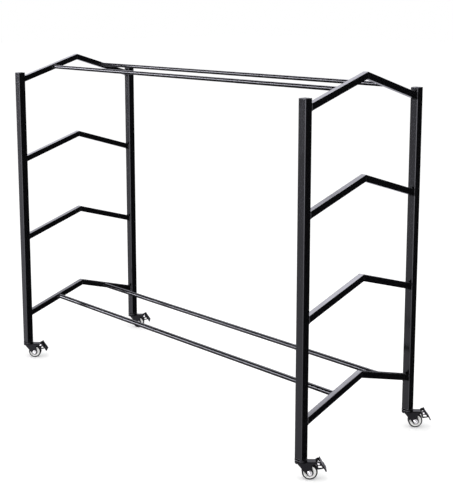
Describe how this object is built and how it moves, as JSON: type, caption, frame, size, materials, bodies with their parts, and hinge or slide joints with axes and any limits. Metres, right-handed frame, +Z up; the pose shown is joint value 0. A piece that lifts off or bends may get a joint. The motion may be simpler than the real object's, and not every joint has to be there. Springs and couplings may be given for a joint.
{
  "type": "ball cart",
  "caption": "Wheeled ball storage cart: ladder ends of square tube with ridged crossbars, joined by round rails, on swivel casters with brake pedals.",
  "frame": {"origin": "on the floor, under the middle of the bounding box of the cart as it is parked; the middle of the welded frame is 24 mm from it towards -X and -Y, because the casters trail the other way", "axes": "+X along the rails, +Y across the ends, +Z up; the picture looks from +X and -Y"},
  "size_m": [1.632, 0.657, 1.2693],
  "materials": {
    "powder_coat": "gloss black powder coat",
    "black_plastic": "moulded, satin",
    "pressed_steel": "black coated pressed steel, satin",
    "zinc": "bright zinc plating",
    "wheel_plastic": "moulded, satin",
    "tyre_rubber": "smooth rubber"
  },
  "bodies": {
    "frame": {"post_front_left": "powder_coat", "cap_front_left": "black_plastic", "stem_insert_front_left": "black_plastic", "swivel_head_front_left": "pressed_steel", "ball_race_front_left": "zinc", "post_back_left": "powder_coat", "cap_back_left": "black_plastic", "stem_insert_back_left": "black_plastic", "swivel_head_back_left": "pressed_steel", "ball_race_back_left": "zinc", "post_front_right": "powder_coat", "cap_front_right": "black_plastic", "stem_insert_front_right": "black_plastic", "swivel_head_front_right": "pressed_steel", "ball_race_front_right": "zinc", "post_back_right": "powder_coat", "cap_back_right": "black_plastic", "stem_insert_back_right": "black_plastic", "swivel_head_back_right": "pressed_steel", "ball_race_back_right": "zinc", "crossbar_left_1": "powder_coat", "crossbar_left_2": "powder_coat", "crossbar_left_3": "powder_coat", "crossbar_left_4": "powder_coat", "crossbar_right_1": "powder_coat", "crossbar_right_2": "powder_coat", "crossbar_right_3": "powder_coat", "crossbar_right_4": "powder_coat", "rail_top_front": "powder_coat", "rail_top_back": "powder_coat", "rail_bottom_front": "powder_coat", "rail_bottom_back": "powder_coat"},
    "fork_front_left": {"fork_front_left": "pressed_steel", "axle_bolt_front_left": "zinc", "axle_nut_front_left": "zinc", "pedal_pin_front_left": "zinc"},
    "wheel_front_left": {"wheel_core_front_left": "wheel_plastic", "tyre_front_left": "tyre_rubber"},
    "pedal_front_left": {"brake_pedal_front_left": "pressed_steel"},
    "fork_back_left": {"fork_back_left": "pressed_steel", "axle_bolt_back_left": "zinc", "axle_nut_back_left": "zinc", "pedal_pin_back_left": "zinc"},
    "wheel_back_left": {"wheel_core_back_left": "wheel_plastic", "tyre_back_left": "tyre_rubber"},
    "pedal_back_left": {"brake_pedal_back_left": "pressed_steel"},
    "fork_front_right": {"fork_front_right": "pressed_steel", "axle_bolt_front_right": "zinc", "axle_nut_front_right": "zinc", "pedal_pin_front_right": "zinc"},
    "wheel_front_right": {"wheel_core_front_right": "wheel_plastic", "tyre_front_right": "tyre_rubber"},
    "pedal_front_right": {"brake_pedal_front_right": "pressed_steel"},
    "fork_back_right": {"fork_back_right": "pressed_steel", "axle_bolt_back_right": "zinc", "axle_nut_back_right": "zinc", "pedal_pin_back_right": "zinc"},
    "wheel_back_right": {"wheel_core_back_right": "wheel_plastic", "tyre_back_right": "tyre_rubber"},
    "pedal_back_right": {"brake_pedal_back_right": "pressed_steel"}
  },
  "joints": [
    {"name": "swivel_front_left", "type": "hinge", "parent": "frame", "child": "fork_front_left", "pos_m": [-0.79406, -0.30656, 0.06174], "axis": [0, 0, 1], "continuous": true},
    {"name": "wheel_spin_front_left", "type": "hinge", "parent": "fork_front_left", "child": "wheel_front_left", "pos_m": [-0.77461, -0.28711, 0.02524], "axis": [-0.7071, 0.7071, 0], "continuous": true},
    {"name": "brake_front_left", "type": "hinge", "parent": "fork_front_left", "child": "pedal_front_left", "pos_m": [-0.75517, -0.26767, 0.05574], "axis": [-0.7071, 0.7071, 0], "range_deg": [0, 7]},
    {"name": "swivel_back_left", "type": "hinge", "parent": "frame", "child": "fork_back_left", "pos_m": [-0.79406, 0.25844, 0.06174], "axis": [0, 0, 1], "continuous": true},
    {"name": "wheel_spin_back_left", "type": "hinge", "parent": "fork_back_left", "child": "wheel_back_left", "pos_m": [-0.77461, 0.27789, 0.02524], "axis": [-0.7071, 0.7071, 0], "continuous": true},
    {"name": "brake_back_left", "type": "hinge", "parent": "fork_back_left", "child": "pedal_back_left", "pos_m": [-0.75517, 0.29733, 0.05574], "axis": [-0.7071, 0.7071, 0], "range_deg": [0, 7]},
    {"name": "swivel_front_right", "type": "hinge", "parent": "frame", "child": "fork_front_right", "pos_m": [0.74594, -0.30656, 0.06174], "axis": [0, 0, 1], "continuous": true},
    {"name": "wheel_spin_front_right", "type": "hinge", "parent": "fork_front_right", "child": "wheel_front_right", "pos_m": [0.76539, -0.28711, 0.02524], "axis": [-0.7071, 0.7071, 0], "continuous": true},
    {"name": "brake_front_right", "type": "hinge", "parent": "fork_front_right", "child": "pedal_front_right", "pos_m": [0.78483, -0.26767, 0.05574], "axis": [-0.7071, 0.7071, 0], "range_deg": [0, 7]},
    {"name": "swivel_back_right", "type": "hinge", "parent": "frame", "child": "fork_back_right", "pos_m": [0.74594, 0.25844, 0.06174], "axis": [0, 0, 1], "continuous": true},
    {"name": "wheel_spin_back_right", "type": "hinge", "parent": "fork_back_right", "child": "wheel_back_right", "pos_m": [0.76539, 0.27789, 0.02524], "axis": [-0.7071, 0.7071, 0], "continuous": true},
    {"name": "brake_back_right", "type": "hinge", "parent": "fork_back_right", "child": "pedal_back_right", "pos_m": [0.78483, 0.29733, 0.05574], "axis": [-0.7071, 0.7071, 0], "range_deg": [0, 7]}
  ]
}
